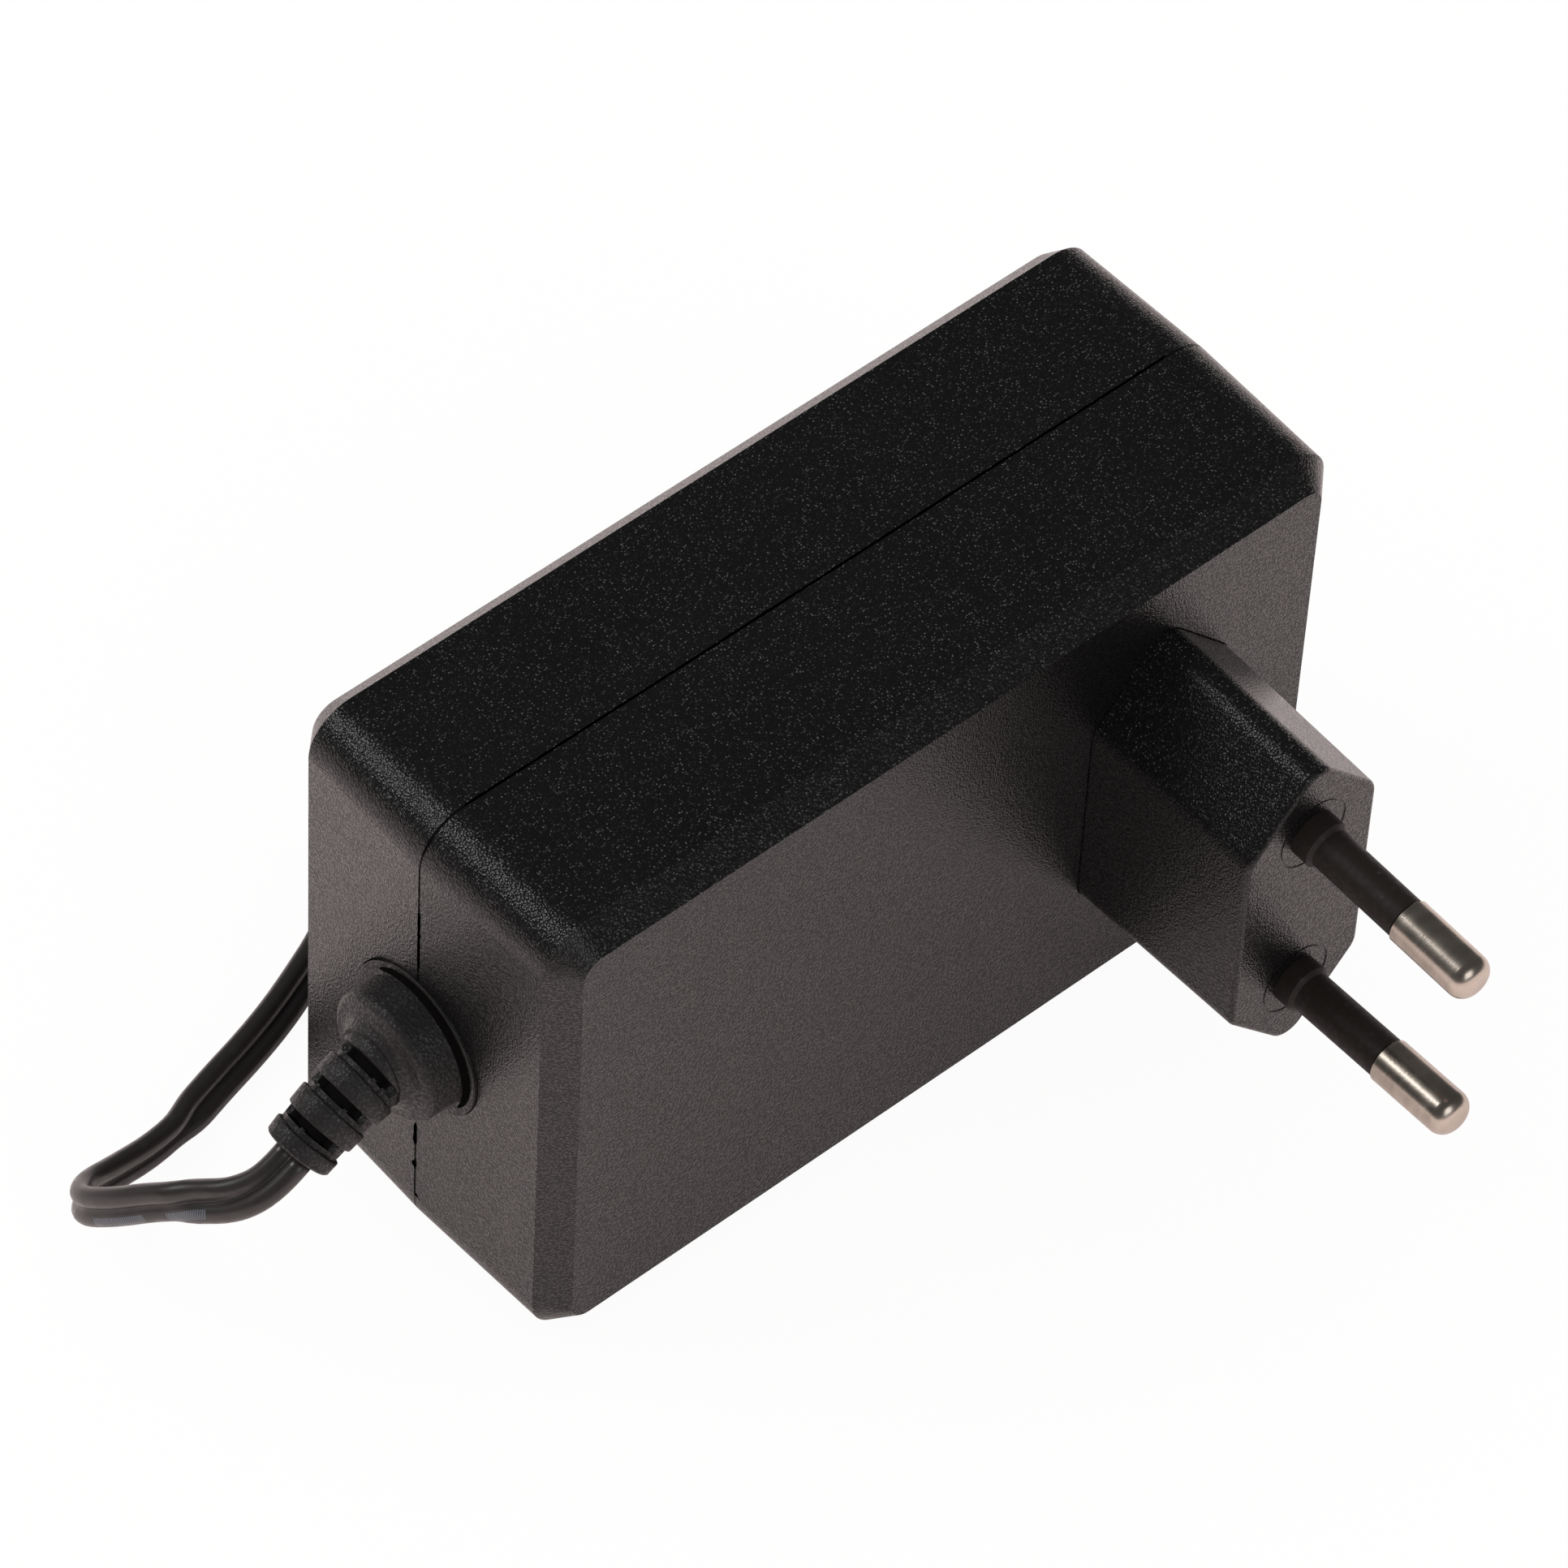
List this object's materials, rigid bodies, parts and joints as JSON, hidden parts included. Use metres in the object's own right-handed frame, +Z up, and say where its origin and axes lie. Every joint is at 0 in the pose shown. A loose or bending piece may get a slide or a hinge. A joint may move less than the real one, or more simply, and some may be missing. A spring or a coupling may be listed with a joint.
{
  "type": "plug-in power adapter",
  "caption": "Black two-shell plug-in power adapter with a side mains plug block, sleeved pins, a slotted strain relief and a thin twin output cord.",
  "frame": {"origin": "on the case's bottom ridge at the parting plane, at mid-length, where it stands", "axes": "+X along the case towards the plug end, -Y out of the marked face along the plug's pins, +Z up across the case's height"},
  "size_m": [0.1172, 0.0895, 0.051],
  "materials": {
    "case_plastic": "fine spark-eroded black moulding",
    "insert_plastic": "fine spark-eroded black moulding",
    "sleeve_plastic": "smooth satin black sleeve",
    "nickel": "nickel-plated brass, lightly worn",
    "relief_vinyl": "soft matt vinyl",
    "cord_vinyl": "semi-gloss vinyl with a pale dashed stripe",
    "tie_vinyl": "matt black band",
    "plug_vinyl": "satin black vinyl",
    "plug_insulator": "yellow insulator",
    "board": "tan paper laminate",
    "ferrite": "grey ferrite",
    "bobbin": "black phenolic",
    "copper_wire": "enamelled copper",
    "tape": "yellow polyester tape",
    "can_sleeve": "dark shrink sleeve",
    "fuse_case": "brown moulded case",
    "film_case": "yellow film capacitor case",
    "disc_coat": "blue epoxy coat",
    "chip_epoxy": "black epoxy",
    "sink": "bare rolled sheet",
    "wire_red": "red vinyl",
    "wire_black": "black vinyl",
    "wire_brown": "brown vinyl",
    "wire_blue": "blue vinyl"
  },
  "bodies": {
    "root": {"front_shell": "case_plastic", "rear_shell": "case_plastic", "plug_insert": "insert_plastic", "pin_upper": "nickel", "pin_lower": "nickel", "sleeve_upper": "sleeve_plastic", "sleeve_lower": "sleeve_plastic", "strain_relief": "relief_vinyl", "lead": "cord_vinyl", "lead_hank": "cord_vinyl", "lead_tail": "cord_vinyl", "hank_tie": "tie_vinyl", "dc_plug_body": "plug_vinyl", "dc_plug_barrel": "nickel", "dc_plug_insulator": "plug_insulator", "dc_plug_contact": "nickel", "circuit_board": "board", "bulk_capacitor": "can_sleeve", "output_capacitor_1": "can_sleeve", "output_capacitor_2": "can_sleeve", "fuse": "fuse_case", "x_capacitor": "film_case", "bridge_rectifier": "chip_epoxy", "optocoupler": "chip_epoxy", "controller_chip": "chip_epoxy", "varistor": "disc_coat", "y_capacitor": "disc_coat", "choke_core": "ferrite", "choke_winding": "copper_wire", "transformer_core_left": "ferrite", "transformer_core_right": "ferrite", "transformer_bobbin": "bobbin", "transformer_winding": "copper_wire", "transformer_tape": "tape", "transistor_heat_sink": "sink", "switching_transistor": "chip_epoxy", "diode_heat_sink": "sink", "output_diode": "chip_epoxy", "mains_wire_upper": "wire_brown", "mains_wire_lower": "wire_blue", "output_wire_upper": "wire_red", "output_wire_lower": "wire_black"}
  },
  "joints": []
}
